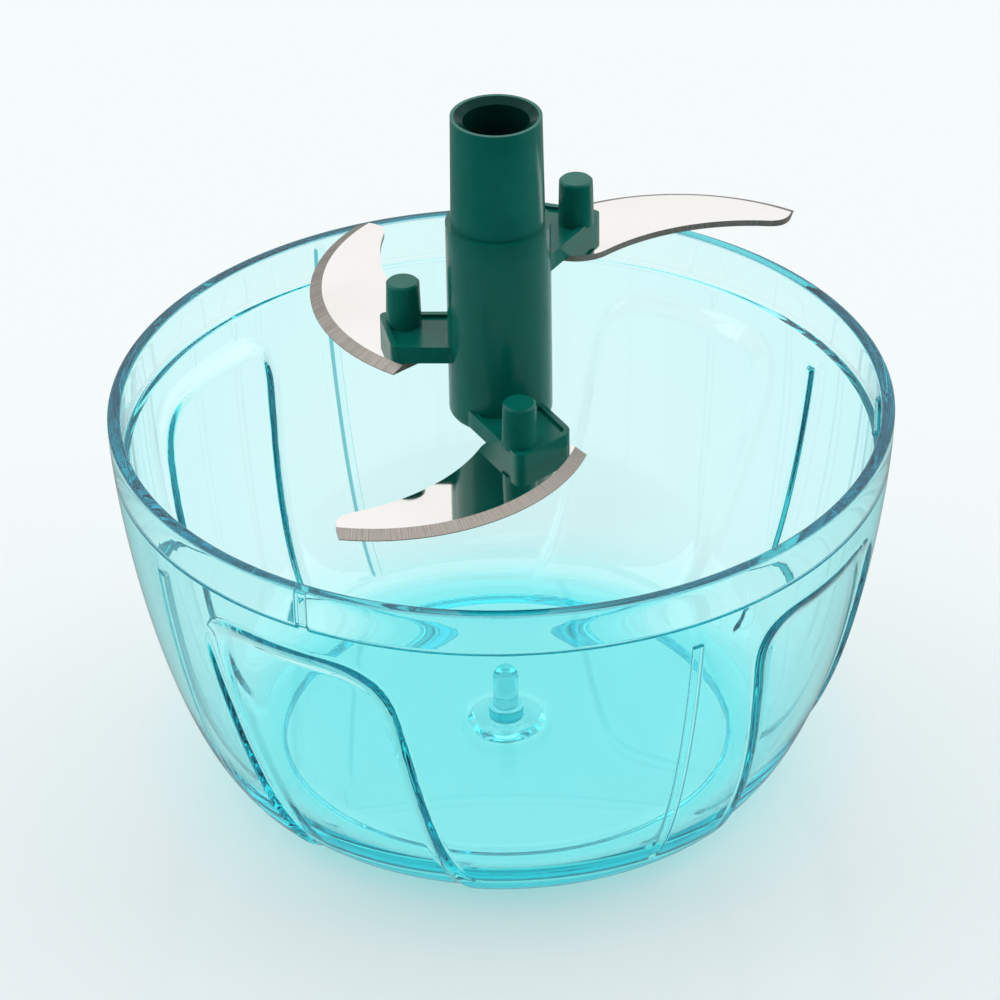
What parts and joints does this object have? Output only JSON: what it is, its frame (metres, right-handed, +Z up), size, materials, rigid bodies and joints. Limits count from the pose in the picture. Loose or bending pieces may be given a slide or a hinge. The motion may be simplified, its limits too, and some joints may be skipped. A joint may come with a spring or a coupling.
{
  "type": "pull-string food chopper bowl and blade unit",
  "caption": "Clear round chopping bowl with a centre pin, and a stacked curved-blade unit that spins on the pin and lifts straight off it.",
  "frame": {"origin": "on the table under the middle of the bowl, where the axis of the pivot pin meets the plane of the foot ring", "axes": "+Z up along the pivot pin and the blade unit, +X to the right and +Y to the back as the picture shows the part"},
  "size_m": [0.12, 0.12, 0.1115],
  "materials": {
    "clear_bowl": "clear polished aqua styrene",
    "hub_plastic": "glossy dark green moulding",
    "bush_plastic": "natural acetal",
    "blade_steel": "mirror-polished stainless steel with a ground edge",
    "screw_steel": "plain stainless steel"
  },
  "bodies": {
    "bowl": {"bowl": "clear_bowl"},
    "bush": {"pivot_bush": "bush_plastic"},
    "blade_unit": {"blade_hub": "hub_plastic", "drive_sleeve": "hub_plastic", "blade_low": "blade_steel", "blade_mid": "blade_steel", "blade_high": "blade_steel", "blade_screw_low": "screw_steel", "blade_screw_mid": "screw_steel", "blade_screw_high": "screw_steel"}
  },
  "joints": [
    {"name": "blade_lift", "type": "slide", "parent": "bowl", "child": "bush", "axis": [0, 0, 1], "range_m": [-0.0524, 0]},
    {"name": "blade_spin", "type": "hinge", "parent": "bush", "child": "blade_unit", "pos_m": [0, 0, 0.061], "axis": [0, 0, 1], "continuous": true}
  ]
}
